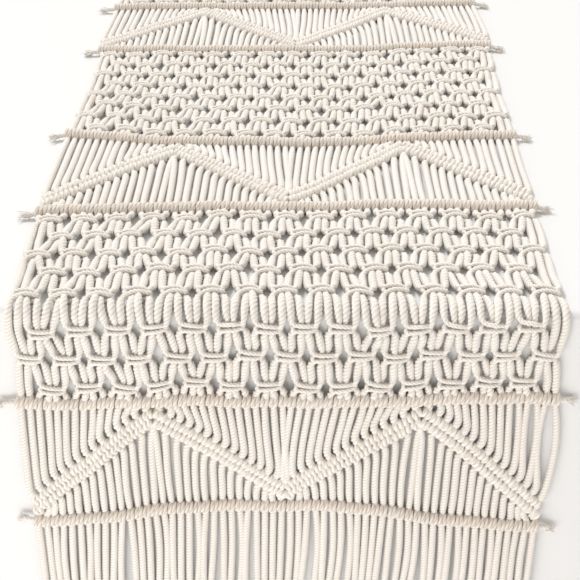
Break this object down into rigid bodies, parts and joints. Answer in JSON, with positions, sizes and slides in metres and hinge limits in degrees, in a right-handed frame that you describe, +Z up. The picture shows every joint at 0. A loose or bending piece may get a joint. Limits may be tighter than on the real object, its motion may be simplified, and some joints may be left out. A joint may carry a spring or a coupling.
{
  "type": "table runner",
  "caption": "Long macrame table runner in cotton cord: zigzag panels, hitched bars and square-knot nets in turn, with fringed ends that hang over the table edges.",
  "frame": {"origin": "on the table top, under the middle of the runner: the centre of the underside of the middle zigzag panel", "axes": "+X across the runner, +Y along it from the front drop to the back drop, +Z up; Z = 0 is the table top"},
  "size_m": [0.332, 1.3336, 0.2703],
  "materials": {
    "knotted_cord": "three-strand cotton cord, natural ecru, matt",
    "holding_cord": "the same cotton cord with short combed tails",
    "fringe_cord": "the same cotton cord hanging free, matt"
  },
  "bodies": {
    "table_span": {"hitch_bar_03": "knotted_cord", "hitch_bar_04": "knotted_cord", "hitch_bar_05": "knotted_cord", "hitch_bar_06": "knotted_cord", "hitch_bar_07": "knotted_cord", "hitch_bar_08": "knotted_cord", "hitch_bar_09": "knotted_cord", "hitch_bar_10": "knotted_cord", "hitch_bar_11": "knotted_cord", "hitch_bar_12": "knotted_cord", "holding_cord_03": "holding_cord", "holding_cord_04": "holding_cord", "holding_cord_05": "holding_cord", "holding_cord_06": "holding_cord", "holding_cord_07": "holding_cord", "holding_cord_08": "holding_cord", "holding_cord_09": "holding_cord", "holding_cord_10": "holding_cord", "holding_cord_11": "holding_cord", "holding_cord_12": "holding_cord", "knot_net_1_top": "knotted_cord", "knot_net_2": "knotted_cord", "knot_net_3": "knotted_cord", "knot_net_4": "knotted_cord", "knot_net_5": "knotted_cord", "knot_net_6_top": "knotted_cord", "upright_cords_2": "knotted_cord", "upright_cords_3": "knotted_cord", "upright_cords_4": "knotted_cord", "upright_cords_5": "knotted_cord", "upright_cords_6": "knotted_cord", "zigzag_ribs_2": "knotted_cord", "zigzag_ribs_3": "knotted_cord", "zigzag_ribs_4": "knotted_cord", "zigzag_ribs_5": "knotted_cord", "zigzag_ribs_6": "knotted_cord"},
    "front_drop": {"front_fringe": "fringe_cord", "hitch_bar_01": "knotted_cord", "hitch_bar_02": "knotted_cord", "holding_cord_01": "holding_cord", "holding_cord_02": "holding_cord", "knot_net_1_drop": "knotted_cord", "upright_cords_1": "knotted_cord", "zigzag_ribs_1": "knotted_cord"},
    "back_drop": {"back_fringe": "fringe_cord", "hitch_bar_13": "knotted_cord", "hitch_bar_14": "knotted_cord", "holding_cord_13": "holding_cord", "holding_cord_14": "holding_cord", "knot_net_6_drop": "knotted_cord", "upright_cords_7": "knotted_cord", "zigzag_ribs_7": "knotted_cord"}
  },
  "joints": [
    {"name": "front_fold", "type": "hinge", "parent": "table_span", "child": "front_drop", "pos_m": [0, -0.658, 0], "axis": [-1, 0, 0], "range_deg": [0, 90]},
    {"name": "back_fold", "type": "hinge", "parent": "table_span", "child": "back_drop", "pos_m": [0, 0.658, 0], "axis": [1, 0, 0], "range_deg": [0, 90]}
  ]
}
